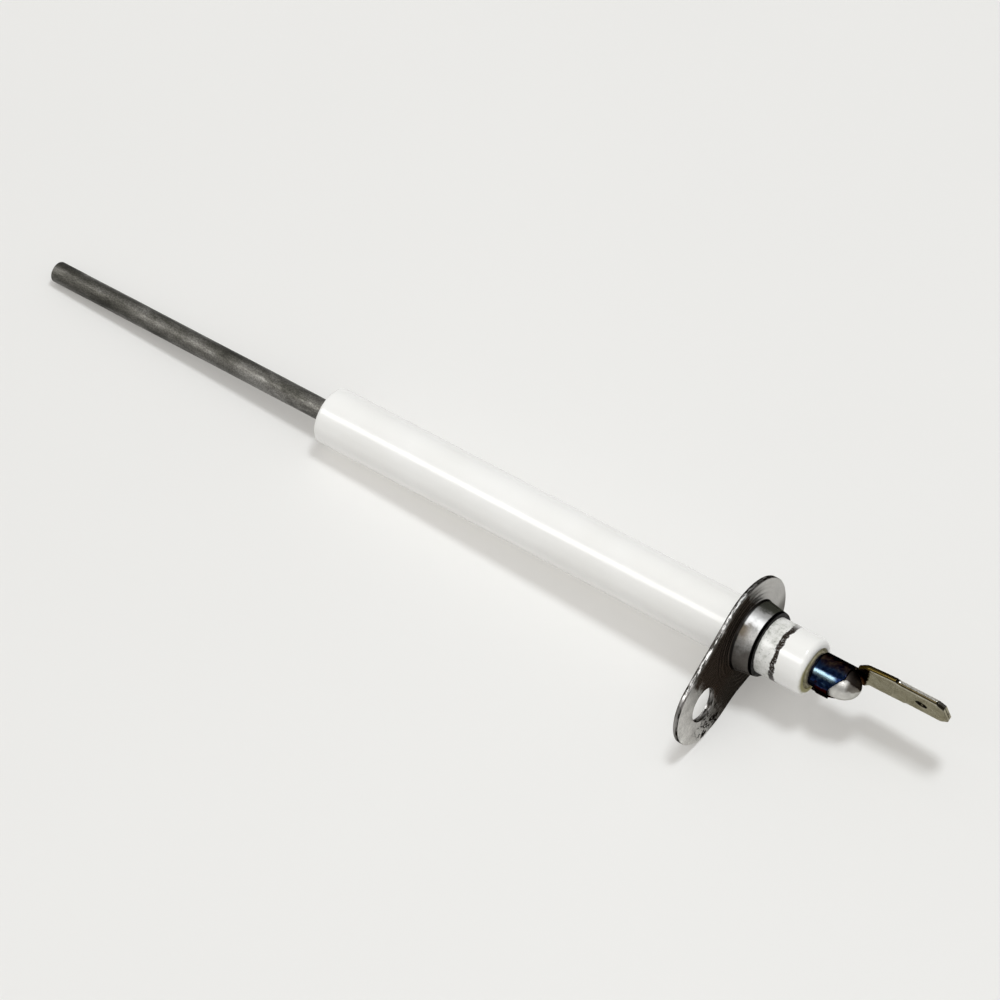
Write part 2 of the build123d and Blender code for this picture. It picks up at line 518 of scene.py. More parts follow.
def ceramic_finish():
    """White glazed ceramic with rubbed metal and a dark ring behind the collar."""
    glaze = Finish("glazed_ceramic", IOR=1.52)
    x = glaze.along_axis()
    tone = glaze.noise(70, 3)
    mottle = glaze.noise(900, 5, 0.65)
    fine = glaze.noise(3800, 4, 0.7)
    ring_front, ring_back = 6.2, 6.9
    body = glaze.shades(tone, (0.35, (0.88, 0.875, 0.855)), (0.65, (0.92, 0.918, 0.905)))
    # Rub marks: grey-green speckle between the collar and the ring
    rubbed = glaze.band(x, collar_rim_x / MM, ring_front, 0.12)
    smudge = glaze.both(rubbed, glaze.between(mottle, 0.42, 0.68, 0.16, 0.85))
    colour = glaze.blend(smudge, body, (0.45, 0.46, 0.42))
    pits = glaze.both(rubbed, glaze.between(fine, 0.58, 0.66), 0.55)
    colour = glaze.blend(pits, colour, (0.12, 0.13, 0.12))
    # Black ring, smeared out near the top
    worn = glaze.between(glaze.math("ABSOLUTE", glaze.around(to_hole)), 125.0, 150.0, 1.0, 0.45)
    wander = glaze.math("ADD", x, glaze.between(mottle, 0.3, 0.7, -0.16, 0.16))
    ring = glaze.both(glaze.band(wander, ring_front, ring_back, 0.08), worn)
    broken = glaze.both(ring, glaze.between(fine, 0.36, 0.46, 0.72, 1.0))
    colour = glaze.blend(broken, colour, (0.022, 0.016, 0.012))
    # Olive stain about the post on the rear face; its growth toward the hole side is painted shade
    hole_way = glaze.toward(to_hole)
    off_centre = glaze.math("SUBTRACT", hole_way, 0.55)
    radius = glaze.distance(off_centre, glaze.toward(along.cross(to_hole)))
    rear = glaze.between(x, ceramic_rear_x / MM - 0.8, ceramic_rear_x / MM - 0.5)
    inner = glaze.between(glaze.math("ADD", radius, glaze.both(mottle, 0.4)), 2.95, 3.45, 1.0, 0.0)
    stain_and_shade = glaze.both(rear, inner, glaze.between(hole_way, -2.6, 0.6, 0.2, 1.0))
    colour = glaze.blend(stain_and_shade, colour, (0.34, 0.31, 0.14))
    glaze.set("Base Color", colour)
    glaze.set("Specular Tint", glaze.blend(broken, (1.0, 1.0, 1.0), (0.12, 0.11, 0.10)))
    dull = glaze.math("ADD", glaze.both(smudge, 0.30), glaze.both(broken, 0.15))
    dull = glaze.math("ADD", dull, glaze.both(stain_and_shade, 0.4))
    base = glaze.between(mottle, 0.35, 0.7, 0.14, 0.21)
    glaze.set("Roughness", glaze.math("ADD", base, dull))
    slow = glaze.bump(glaze.noise(260, 2), 0.05 * MM, 0.35)
    glaze.set("Normal", glaze.bump(mottle, 0.02 * MM, 0.06, slow))
    return glaze.material


def cement_finish():
    """Rough, yellowed refractory cement."""
    cement = Finish("cement", Roughness=0.85)
    lumps = cement.noise(1500, 5, 0.65)
    grains = cement.noise(6000, 3, 0.7)
    colour = cement.shades(
        lumps, (0.30, (0.17, 0.155, 0.095)), (0.5, (0.33, 0.305, 0.20)), (0.72, (0.50, 0.465, 0.345))
    )
    # Painted shade where the rear mound meets the barrel
    barrel_mouth_shade = cement.between(cement.along_axis(), 10.72, 10.92)
    colour = cement.blend(cement.both(barrel_mouth_shade, 0.85), colour, (0.070, 0.058, 0.040))
    cement.set("Base Color", colour)
    cement.set("Roughness", cement.between(grains, 0.3, 0.7, 0.7, 0.95))
    coarse = cement.bump(lumps, 0.12 * MM, 0.8)
    cement.set("Normal", cement.bump(grains, 0.05 * MM, 0.6, coarse))
    return cement.material


def plate_stains_and_shade(steel, colour, plate, hole_way, side_way):
    """Brown-black oxide beside the collar and between it and the hole, and its mask, with painted soft
    shade on one side.
    """
    toward_end = steel.between(hole_way, 9.0, 16.5, 0.66, 1.2)
    colour = steel.blend(1.0, colour, toward_end, "MULTIPLY")
    upper = steel.between(hole_way, -5.2, -2.6, 0.38, 0.0)
    colour = steel.blend(upper, colour, (0.88, 0.87, 0.85))
    rough_border = steel.between(steel.noise(900, 5, 0.7), 0.3, 0.7, -0.8, 0.8)
    reach = steel.math("ADD", hole_way, rough_border)
    slanted = steel.math("ADD", reach, steel.both(side_way, 0.21))
    dark = steel.both(steel.between(reach, -3.2, -1.6), steel.between(slanted, 9.3, 10.9, 1.0, 0.0), plate)
    colour = steel.blend(steel.both(dark, 0.96), colour, (0.068, 0.054, 0.043))
    right = steel.both(plate, steel.band(side_way, 2.2, 6.5, 0.4), steel.band(reach, 9.5, 14.5, 0.8))
    # Painted soft shade on one side, fading out toward the small end
    side_shade = steel.both(
        plate, steel.between(side_way, 0.8, 3.6), steel.between(reach, 10.0, 14.2, 0.6, 0.0)
    )
    colour = steel.blend(side_shade, colour, (0.085, 0.080, 0.072))
    specks = steel.both(right, steel.between(steel.noise(1400, 3, 0.75), 0.50, 0.54))
    colour = steel.blend(steel.both(specks, 0.92), colour, (0.02, 0.016, 0.013))
    return colour, dark


def collar_tints(steel, colour, wall, x, radius, cloud):
    """Greenish black on top, a brown spot, brown-grey below, a painted highlight band, painted shade round
    the foot, and a black rim painted as the shade at the collar's mouth, with its mask.
    """
    swing = steel.math("ADD", steel.around(to_hole), steel.between(cloud, 0.3, 0.7, -9.0, 9.0))
    # Painted highlight: a lighter band round the collar's wall
    collar_highlight = steel.both(wall, steel.band(swing, 82.0, 116.0, 8.0))
    colour = steel.blend(steel.both(collar_highlight, 0.7), colour, (0.72, 0.71, 0.70))
    top = steel.both(wall, steel.between(steel.math("ABSOLUTE", swing), 112.0, 128.0))
    colour = steel.blend(steel.both(top, 0.88), colour, (0.075, 0.080, 0.060))
    spot = steel.both(wall, steel.band(swing, 56.0, 82.0, 9.0), steel.between(x, 1.5, 2.9, 1.0, 0.0))
    colour = steel.blend(steel.both(spot, 0.8), colour, (0.085, 0.060, 0.030))
    low = steel.both(
        wall, steel.between(swing, 34.0, 58.0, 1.0, 0.0), steel.between(swing, -128.0, -112.0)
    )
    colour = steel.blend(steel.both(low, 0.72), colour, (0.075, 0.062, 0.052))
    # Black rim: painted shade of the gap at the collar's mouth
    rim_shade = steel.between(steel.math("ADD", x, steel.both(cloud, 0.2)), 3.50, 3.60)
    colour = steel.blend(rim_shade, colour, (0.003, 0.003, 0.003))
    # Painted shade in the corner round the collar's foot
    foot_shade = steel.both(steel.band(radius, 4.78, 5.04, 0.06), steel.between(x, 1.15, 1.35, 1.0, 0.0))
    colour = steel.blend(steel.both(foot_shade, 0.95), colour, (0.012, 0.010, 0.009))
    return colour, rim_shade


def sheared_edge(steel, colour, plate, x, radius, hole_way):
    """The plate's cut edge: dark along both borders, streaky between them."""
    sheared = steel.between(steel.math("ABSOLUTE", steel.faces(along)), 0.35, 0.75, 1.0, 0.0)
    sheared = steel.both(sheared, plate, steel.between(radius, 5.0, 5.5))
    streaks = steel.noise(1300, 4, 0.7, steel.stretched(3.0, 0.6, 0.6))
    worn = steel.shades(
        streaks, (0.42, (0.040, 0.036, 0.030)), (0.48, (0.38, 0.37, 0.36)), (0.56, (0.95, 0.94, 0.92))
    )
    dull = steel.shades(
        streaks, (0.38, (0.030, 0.027, 0.024)), (0.50, (0.120, 0.115, 0.11)), (0.62, (0.42, 0.41, 0.40))
    )
    # Painted light: the cut edge takes its bright streaky colour only where it faces one way, and the dull
    # colour elsewhere
    lit_facing = steel.between(steel.faces(-along.cross(to_hole)), 0.90, 0.965)
    low_end = steel.between(hole_way, 11.0, 14.0)
    dull = steel.blend(low_end, dull, (0.30, 0.29, 0.28))
    cut = steel.blend(lit_facing, dull, worn)
    border = steel.band(x, 0.24, 0.54, 0.08)
    shade = steel.shades(streaks, (0.44, (0.030, 0.027, 0.023)), (0.58, (0.22, 0.21, 0.20)))
    cut = steel.blend(border, shade, cut)
    return steel.blend(sheared, colour, cut)


def flange_finish():
    """Cold-rolled steel plate with drawing marks, scratches and dark oxide stains, and painted highlight
    and shade on the plate's side, the collar and the cut edge.
    """
    steel = Finish("flange_steel", Metallic=1.0)
    x = steel.along_axis()
    hole_way = steel.toward(to_hole)
    side_way = steel.toward(along.cross(to_hole))
    radius = steel.distance(hole_way, side_way)
    cloud = steel.noise(420, 5, 0.6)
    grain = steel.noise(3600, 4, 0.65)
    colour = steel.shades(
        cloud, (0.30, (0.42, 0.41, 0.395)), (0.50, (0.54, 0.53, 0.51)), (0.72, (0.66, 0.65, 0.63))
    )
    colour = steel.blend(1.0, colour, steel.between(grain, 0.35, 0.65, 0.85, 1.1), "MULTIPLY")
    wall_border = (5.2, 5.45)
    outside = steel.between(radius, *wall_border)
    plate = steel.math("MAXIMUM", steel.between(x, 0.86, 1.05, 1.0, 0.0), outside)
    wall = steel.both(steel.between(x, 0.95, 1.15), steel.between(radius, *wall_border, 1.0, 0.0))
    colour, dark = plate_stains_and_shade(steel, colour, plate, hole_way, side_way)
    colour, rim_shade = collar_tints(steel, colour, wall, x, radius, cloud)
    colour = sheared_edge(steel, colour, plate, x, radius, hole_way)
    steel.set("Base Color", colour)
    steel.set("Specular Tint", colour)
    rough = steel.between(grain, 0.3, 0.7, 0.28, 0.40)
    dry = steel.math("ADD", steel.both(dark, 0.12), steel.both(rim_shade, 0.5))
    dry = steel.math("ADD", dry, steel.both(wall, 0.14))
    steel.set("Roughness", steel.math("ADD", rough, dry))
    sway = steel.math("ADD", radius, steel.both(cloud, 0.7))
    rings = steel.math("SINE", steel.both(sway, 9.0))
    draw = steel.bump(steel.both(rings, steel.band(radius, 5.5, 7.6, 0.3)), 0.03 * MM, 0.6)
    scratches = steel.noise(700, 4, 0.7, steel.stretched(1, 0.5, 6), 0.6)
    lines = steel.bump(steel.between(scratches, 0.45, 0.55), 0.012 * MM, 0.45, draw)
    steel.set("Normal", steel.bump(grain, 0.012 * MM, 0.5, lines))
    return steel.material


def gap_shade_finish():
    """Lumpy black ring at the collar's mouth: painted shade of the gap between the collar and the ceramic.
    """
    seal = Finish("black_seal", Specular_IOR_Level=0.15)
    lumps = seal.noise(2600, 4, 0.65)
    colour = seal.shades(lumps, (0.35, (0.004, 0.004, 0.004)), (0.7, (0.018, 0.017, 0.015)))
    seal.set("Base Color", colour)
    seal.set("Roughness", seal.between(lumps, 0.3, 0.7, 0.4, 0.7))
    seal.set("Normal", seal.bump(lumps, 0.08 * MM, 0.7))
    return seal.material


def post_finish():
    """Satin plated steel, with painted dark brown shade and dark reflection on the side beside the blade.
    """
    post = Finish("post_steel", Metallic=1.0)
    x = post.along_axis()
    cloud = post.noise(800, 4, 0.6)
    grain = post.noise(4200, 4, 0.65)
    satin = post.shades(cloud, (0.35, (0.50, 0.49, 0.465)), (0.65, (0.66, 0.65, 0.62)))
    turned = post.math("ADD", post.around(), post.between(cloud, 0.3, 0.7, -8.0, 8.0))
    end = post.both(post.band(turned, 48.0, 95.0, 8.0), post.between(x, 16.0, 16.5))
    colour = post.blend(post.both(end, 0.75), satin, (0.13, 0.11, 0.085))
    # Painted shade and dark reflection: dark brown on the side toward the blade
    blade_side_shade = post.math(
        "ADD", post.band(turned, 84.0, 182.0, 7.0), post.between(turned, -182.0, -100.0, 1.0, 0.0)
    )
    colour = post.blend(post.both(blade_side_shade, 0.95), colour, (0.020, 0.011, 0.007))
    # Painted shade on the post where it enters the barrel's front end
    barrel_mouth_shade = post.between(x, 12.6, 13.2, 1.0, 0.0)
    colour = post.blend(barrel_mouth_shade, colour, (0.012, 0.014, 0.024))
    post.set("Base Color", colour)
    post.set("Specular Tint", colour)
    post.set("Roughness", post.between(grain, 0.3, 0.7, 0.38, 0.50))
    post.set("Normal", post.bump(grain, 0.008 * MM, 0.5))
    return post.material


def barrel_tints(plate, x, angle, blotch):
    """Navy, with purple and brown toward the top, a pale blue line at the side that is a painted
    highlight, and painted shade at the front end and beside the open seam.
    """
    navy = plate.shades(
        blotch, (0.38, (0.004, 0.008, 0.026)), (0.50, (0.008, 0.020, 0.065)), (0.64, (0.030, 0.060, 0.110))
    )
    violet = plate.shades(
        blotch, (0.38, (0.010, 0.006, 0.016)), (0.52, (0.040, 0.024, 0.022)), (0.66, (0.090, 0.062, 0.040))
    )
    hot = plate.between(plate.math("ABSOLUTE", angle), 96.0, 116.0)
    barrel = plate.blend(hot, navy, violet)
    # Painted highlight: a pale blue line along the side
    steady = plate.math("ADD", plate.around(), plate.between(blotch, 0.3, 0.7, -2.5, 2.5))
    pale_highlight = plate.both(plate.band(steady, 60.0, 76.0, 4.0), plate.between(x, 14.2, 15.0, 1.0, 0.0))
    barrel = plate.blend(plate.both(pale_highlight, 0.85), barrel, (0.20, 0.29, 0.33))
    # Painted shade: the barrel's front end black
    lip_shade = plate.between(x, 11.46, 11.60, 1.0, 0.0)
    barrel = plate.blend(lip_shade, barrel, (0.004, 0.004, 0.006))
    far_limit = plate.between(angle, -70.0, -40.0)
    flap = plate.both(far_limit, plate.between(angle, 34.0, 42.0, 1.0, 0.0), plate.between(x, 11.9, 12.3))
    barrel = plate.blend(flap, barrel, (0.020, 0.005, 0.004))
    # Painted shade on the barrel's edge beside the open seam at its front
    seam_shade = plate.both(
        far_limit, plate.between(angle, 15.0, 25.0, 1.0, 0.0), plate.between(x, 12.3, 12.5, 1.0, 0.0)
    )
    return plate.blend(seam_shade, barrel, (0.007, 0.005, 0.006))


def blade_tints(plate, x, side_way, rise, cloud, blotch):
    """Plain plating behind a dark brown root, with golden-tinted edges painted in lit and shaded halves,
    and painted shade at the shoulder step, the tip's chamfer and the hole's wall.
    """
    bare = plate.shades(cloud, (0.35, (0.40, 0.38, 0.305)), (0.65, (0.48, 0.46, 0.38)))
    root = plate.math("ADD", x, plate.both(side_way, 0.305))
    root = plate.math("ADD", root, plate.between(blotch, 0.3, 0.7, -0.12, 0.12))
    scale = plate.shades(blotch, (0.38, (0.016, 0.009, 0.006)), (0.60, (0.075, 0.046, 0.030)))
    blade = plate.blend(plate.between(root, 17.15, 17.5), scale, bare)
    # Near and far edges, painted as the lit and shaded halves of the rounded fold: golden neck with
    # painted shade outside; tab with a painted light outer half and a painted dark inner half
    edge = plate.between(plate.math("ABSOLUTE", plate.faces(along.cross(from_blade))), 0.45, 0.75)
    outer = plate.between(plate.math("ADD", rise, plate.both(blotch, 0.2)), -2.62, -2.42, 1.0, 0.0)
    neck_edge = plate.blend(outer, (0.085, 0.060, 0.015), (0.024, 0.016, 0.008))
    tab_edge = plate.blend(outer, (0.070, 0.055, 0.026), (0.90, 0.88, 0.82))
    edges = plate.blend(plate.between(x, 22.2, 22.35), neck_edge, tab_edge)
    blade = plate.blend(edge, blade, edges)
    # Painted shade on the shoulder step between neck and tab
    step = plate.both(edge, plate.band(x, 21.95, 22.25, 0.05))
    blade = plate.blend(step, blade, (0.012, 0.010, 0.007))
    # Painted shade on the facets of the tip's chamfer
    cut = plate.both(plate.between(x, 27.7, 27.8), plate.band(plate.faces(along), 0.35, 0.9, 0.08))
    blade = plate.blend(plate.both(cut, 0.85), blade, (0.035, 0.030, 0.022))
    # Painted shade on the wall of the tab's hole
    hole_way = plate.math("SUBTRACT", x, tab_hole_x / MM)
    hole = plate.between(plate.distance(hole_way, side_way), 0.86, 0.90, 1.0, 0.0)
    return plate.blend(plate.both(hole, 0.9), blade, (0.020, 0.017, 0.012))


def terminal_finish():
    """Nickel-plated strip, heat-tinted blue at the barrel and brown to straw at the neck."""
    plate = Finish("plated_terminal", Metallic=1.0)
    x = plate.along_axis()
    side_way = plate.toward(along.cross(from_blade))
    rise = plate.toward(from_blade)
    cloud = plate.noise(650, 4, 0.6)
    blotch = plate.noise(1500, 4, 0.65, None, 0.4)
    grain = plate.noise(4600, 4, 0.65)
    angle = plate.math("ADD", plate.around(), plate.between(cloud, 0.3, 0.7, -9.0, 9.0))
    barrel = barrel_tints(plate, x, angle, blotch)
    blade = blade_tints(plate, x, side_way, rise, cloud, blotch)
    colour = plate.blend(plate.between(x, 15.9, 16.1), barrel, blade)
    grains = plate.between(grain, 0.3, 0.7, 0.86, 1.1)
    colour = plate.blend(1.0, colour, grains, "MULTIPLY")
    plate.set("Base Color", colour)
    plate.set("Specular Tint", colour)
    rough_heat = plate.between(x, 15.5, 18.0, 0.20, 0.27)
    plate.set("Roughness", plate.math("ADD", rough_heat, plate.between(grain, 0.3, 0.7, -0.03, 0.05)))
    rolled = plate.noise(1800, 3, 0.6, plate.stretched(0.2, 1, 1))
    lines = plate.bump(rolled, 0.01 * MM, 0.4)
    plate.set("Normal", plate.bump(cloud, 0.03 * MM, 0.25, lines))
    return plate.material


# ---------------------------------------------------------------- pieces
def make_rod():
    worn = 0.35 * MM
    corners = [
        (rod_tip_x, 0, 0),
        (rod_tip_x, rod_radius, worn),
        (rod_rear_x, rod_radius, worn / 2),
        (rod_rear_x, 0, 0),
    ]
    profile = spaced(rounded(corners, 5), 1.0 * MM)
    bar = lathe(profile, waves(900, 0.02 * MM, 3))
    finish_mesh("rod_bar", bar, rod_finish(), "heat_resisting_rod", "electrode_rod")


def make_ceramic():
    step = 0.06 * MM
    corners = [
        (ceramic_front_x, ceramic_radius, ceramic_front_edge),
        (0, ceramic_radius, step),
        (ceramic_taper, ceramic_rear_radius, step),
        (ceramic_rear_x, ceramic_rear_radius, ceramic_rear_edge),
        (ceramic_rear_x, rear_pocket_radius, step),
        (rear_pocket_x, rear_pocket_radius, step),
        (rear_pocket_x, post_pocket_radius, step),
        (post_pocket_x, post_pocket_radius, step),
        (post_pocket_x, ceramic_bore_radius, step),
        (front_pocket_x, ceramic_bore_radius, step),
        (front_pocket_x, front_pocket_radius, step),
        (ceramic_front_x, front_pocket_radius, 2 * step),
    ]
    profile = spaced(rounded(corners, 6, closed=True), 1.2 * MM, closed=True)
    wave = waves(260, 0.025 * MM, 11)

    def outside_only(x, radius, angle):
        return wave(x, radius, angle) * smooth(3.0 * MM, 3.8 * MM, radius) * (x < -MM or x > 4 * MM)

    tube = lathe(profile, outside_only)
    finish_mesh("insulator_tube", tube, ceramic_finish(), "glazed_ceramic", "ceramic_insulator")


def make_cements():
    material = cement_finish()
    grain_height = 0.09 * MM

    def ring(name, node, mouth_x, floor_x, outer, inner, mound):
        outward = 1 if mouth_x > floor_x else -1
        sag = 0.12 * MM * outward
        corners = [
            (floor_x, inner),
            (floor_x, outer),
            (mouth_x, outer),
            (mouth_x - sag, (inner + outer) / 2),
            (mouth_x + mound * outward, inner),
        ]
        profile = spaced([Vector(corner) for corner in corners], 0.12 * MM, closed=True)
        turned = lathe(profile)
        for vert in turned.verts:
            if abs(vert.co.x - floor_x) > 0.8 * abs(mouth_x - floor_x):
                vert.co.x += grain_height * noise.noise(vert.co * 2200)
        finish_mesh(name, turned, material, "cement", node)

    ring("front_cement", "front_cement_seal", front_cement_x, front_pocket_x,
         front_pocket_radius, rod_radius, 0.06 * MM)
    ring("rear_cement", "rear_cement_seal", rear_cement_x, rear_pocket_x,
         rear_pocket_radius, post_radius, 0.42 * MM)


def plate_outline(spacing):
    """Hull of the two round ends, in (toward the hole, across) plane coordinates."""
    lean = acos((plate_big_radius - plate_small_radius) / hole_distance)
    big = arc((0, 0), plate_big_radius, lean, 2 * pi - lean, spacing)
    small = arc((hole_distance, 0), plate_small_radius, -lean, lean, spacing)
    corner_big = Vector((plate_big_radius * cos(lean), -plate_big_radius * sin(lean)))
    corner_small = Vector(
        (hole_distance + plate_small_radius * cos(lean), plate_small_radius * sin(lean))
    )
    return spaced(big + [corner_big] + small + [corner_small], spacing, closed=True)


def collar_rows():
    """(radius beyond the bore, x) steps from the front face through the bore and back."""
    rim_round = 0.15 * MM
    corners = [
        (collar_entry, 0, 0),
        (0, 0, collar_entry * 0.98),
        (0, gap_ring_front_x, 0.03 * MM),
        (gap_ring_radius - ceramic_rear_radius, gap_ring_front_x, 0.03 * MM),
        (gap_ring_radius - ceramic_rear_radius, collar_rim_x, 0.05 * MM),
        (collar_rim_radius - ceramic_rear_radius, collar_rim_x, rim_round * 0.6),
        (collar_foot_radius - ceramic_rear_radius, plate_thickness, collar_foot_bend),
        (collar_foot_radius - ceramic_rear_radius + 2 * collar_foot_bend, plate_thickness, 0),
    ]
    return [tuple(point) for point in spaced(rounded(corners, 8), 0.4 * MM)]


def make_flange():
    spacing = 0.35 * MM
    bore = arc((0, 0), ceramic_rear_radius, 2 * pi, 0, 2 * pi * ceramic_rear_radius / SEGMENTS)
    hole = arc((hole_distance, 0), hole_radius, 2 * pi, 0, 0.2 * MM)
    cut = edge_rows(0.10 * MM, 0.14 * MM, plate_thickness)
    borders = [
        (plate_outline(spacing), cut),
        (hole, edge_rows(0.06 * MM, 0.12 * MM, plate_thickness)),
        (bore, collar_rows()),
    ]
    across = along.cross(to_hole)
    crease_radius = 6.75 * MM
    crease_width = 0.28 * MM
    hole_end_lean = 0.22 * MM
    hole_end_twist = 0.036

    def place(point, depth):
        radius = hypot(point.x, point.y)
        crease = 0.035 * MM * exp(-(((radius - crease_radius) / crease_width) ** 2))
        on_back = smooth(0.5 * plate_thickness, plate_thickness, depth)
        on_plate = 1 if depth <= plate_thickness * 1.001 else 0
        near_end = smooth(collar_foot_radius, hole_distance, point.x)
        lean = (hole_end_lean + hole_end_twist * point.y) * near_end
        x = depth - crease * on_back * on_plate + lean
        return along * x + point.x * to_hole + point.y * across

    reach = hole_distance + plate_small_radius
    seeds = grid((-plate_big_radius, -plate_big_radius), (reach, plate_big_radius), spacing)
    sheet = stamped(borders, seeds, 0.6 * spacing, place)
    finish_mesh("flange_plate", sheet, flange_finish(), "flange_steel", "mounting_flange")


# Black ring in the collar's mouth, standing in for the shaded gap between the collar and the ceramic
def make_gap_shade_ring():
    proud = 0.10 * MM
    lump_height = 0.08 * MM
    lap_radius = collar_rim_radius - 0.03 * MM
    corners = [
        (gap_ring_front_x, ceramic_rear_radius),
        (gap_ring_front_x, gap_ring_radius),
        (collar_rim_x + 0.01 * MM, gap_ring_radius),
        (collar_rim_x + 0.02 * MM, lap_radius),
        (collar_rim_x + proud * 0.7, lap_radius),
        (collar_rim_x + proud, gap_ring_radius),
        (collar_rim_x + proud * 0.8, ceramic_rear_radius),
    ]
    profile = spaced([Vector(corner) for corner in corners], 0.08 * MM, closed=True)
    turned = lathe(profile)
    for vert in turned.verts:
        if vert.co.x > collar_rim_x:
            vert.co.x += lump_height * abs(noise.noise(vert.co * 1500))
    finish_mesh("collar_gap_shade", turned, gap_shade_finish(), "black_seal", "collar_seal_ring")


def make_post():
    dome_x = post_rear_x - dome_length
    chamfer = 0.2 * MM
    wall = [
        (rod_rear_x + 0.2 * MM, 0, 0),
        (rod_rear_x + 0.2 * MM, rod_radius + 0.02 * MM, chamfer / 2),
        (post_front_x, rod_radius + 0.02 * MM, chamfer / 2),
        (post_front_x, post_radius, chamfer),
        (dome_x, post_radius, 0),
    ]
    steps = 18
    dome = [
        Vector((dome_x + dome_length * sin(pi / 2 * k / steps), post_radius * cos(pi / 2 * k / steps)))
        for k in range(1, steps)
    ]
    profile = spaced(rounded(wall, 4) + dome + [Vector((post_rear_x, 0))], 0.4 * MM)
    stud = lathe(profile, waves(1200, 0.02 * MM, 23))
    finish_mesh("post_stud", stud, post_finish(), "post_steel", "terminal_post")


def half_width(x, side):
    """Width of one side of the folded blade at a station. The near side (1) is narrower."""
    root = root_half_width if side > 0 else far_root_half_width
    neck = root + (neck_half_width - root) * smooth(root_start_x, root_end_x, x)
    at_tab = smooth(shoulder_x - shoulder_soft, shoulder_x + shoulder_soft, x)
    return neck + (tab_half_width - neck) * at_tab


def curl(x, side):
    """How far the blade's edges are raised toward the post at a station."""
    slow_rise, quick_rise, trough_rise = 0.28 * MM, 0.5 * MM, 1.3 * MM
    slow = slow_rise * (1 - smooth(16.0 * MM, 22.5 * MM, x))
    quick = quick_rise * (1 - smooth(root_start_x, 17.8 * MM, x))
    trough = trough_rise * (1 - smooth(15.4 * MM, 16.9 * MM, x))
    return slow + quick if side > 0 else 0.3 * slow + trough


def waist_reach(side):
    """Half width of the flat neck between the barrel and the blade."""
    return 1.05 * MM if side > 0 else 1.7 * MM


def strip_place(point, depth):
    """Rolls the flat strip about the post, or folds its wings under the blade."""
    x, s = point
    angle = pi - s / barrel_mid_radius
    lapped = smooth(strip_at(39.5), strip_at(37.5), s) if x > lap_front_x else 0
    radius = barrel_inner_radius + depth + lap_rise * lapped
    rolled = Vector((radius * cos(angle), radius * sin(angle)))
    side = 1 if s >= 0 else -1
    width = half_width(x, side)
    flat = width - fold_outer
    reach = abs(s)
    if reach <= flat:
        folded = Vector((-post_radius - depth, reach))
    elif reach <= flat + pi * fold_mid:
        turn = (reach - flat) / fold_mid
        arm = fold_outer - depth
        folded = Vector((-post_radius - fold_outer + arm * cos(turn), flat + arm * sin(turn)))
    else:
        back = reach - flat - pi * fold_mid
        folded = Vector((-post_radius - blade_thickness + depth, flat - back))
    folded.x += curl(x, side) * (folded.y / width) ** 2
    folded.y *= side
    blade_share = smooth(15.1 * MM, neck_start_x, x)
    if x < 15.85 * MM:
        blade_share *= 1 - smooth(waist_reach(side), waist_reach(side) + 0.5 * MM, reach)
    across = rolled.lerp(folded, blade_share)
    return along * x + across.x * from_blade - across.y * along.cross(from_blade)


def strip_at(angle):
    """Distance along the flat strip, from its centre line, to an angle round the barrel."""
    return barrel_mid_radius * radians(180 - angle)


def wing_edge(x, side):
    """Distance along the flat strip to the free edge of a folded wing."""
    return 2 * (half_width(x, side) - fold_outer) + pi * fold_mid - 0.012 * MM


def fold_line(x, side):
    return half_width(x, side) - fold_outer + pi * fold_mid / 2


def strip_half(side, seam_end_x, cut_length, cut_width, cut_round):
    """Corners of half of the flat strip, from the barrel's rear rim to the blade's tip."""
    waist = waist_reach(side)
    rim_x = 15.62 * MM
    start_x = neck_start_x
    corner = 0.5 * MM
    tip_x = tab_tip_x
    start_fold = fold_line(start_x + 0.4 * MM, side)
    tip_fold = fold_line(tip_x, side)
    corners = [
        (seam_end_x, strip_at(30), 0.3 * MM),
        (14.7 * MM, strip_at(52), 0.8 * MM),
        (15.45 * MM, strip_at(78), 0.6 * MM),
        (15.74 * MM, strip_at(90), 0.4 * MM),
        (rim_x, strip_at(120), 1.0 * MM),
        (rim_x, waist, 0.12 * MM),
        (start_x, waist, 0.12 * MM),
        (start_x, start_fold - 0.75 * MM, 0.25 * MM),
        (start_x + corner, start_fold, 0.05 * MM),
        (start_x, start_fold + 0.75 * MM, 0.25 * MM),
        (start_x, wing_edge(start_x, side), 0.1 * MM),
    ]
    bite_steps = 16
    hole_edge = wing_edge(tab_hole_x, side)
    bite = [
        (tab_hole_x + tab_hole_radius * cos(a), hole_edge - tab_hole_radius * sin(a), 0)
        for a in [pi * (1 - k / bite_steps) for k in range(bite_steps + 1)]
    ]
    pitch = 0.3 * MM
    stations = [start_x + pitch + pitch * k for k in range(60)]
    last_station = tab_hole_x - tab_hole_radius - 0.2 * MM
    before = [(x, wing_edge(x, side), 0) for x in stations if x < last_station]
    corners += before + bite
    corners += [
        (tip_x, wing_edge(tip_x, side), 0.15 * MM),
        (tip_x, 2 * tip_fold - tab_half_width + cut_width, cut_round),
        (tip_x - cut_length, tip_fold, 0.04 * MM),
        (tip_x, tab_half_width - cut_width, cut_round),
    ]
    return [(x, side * s, radius) for x, s, radius in corners]


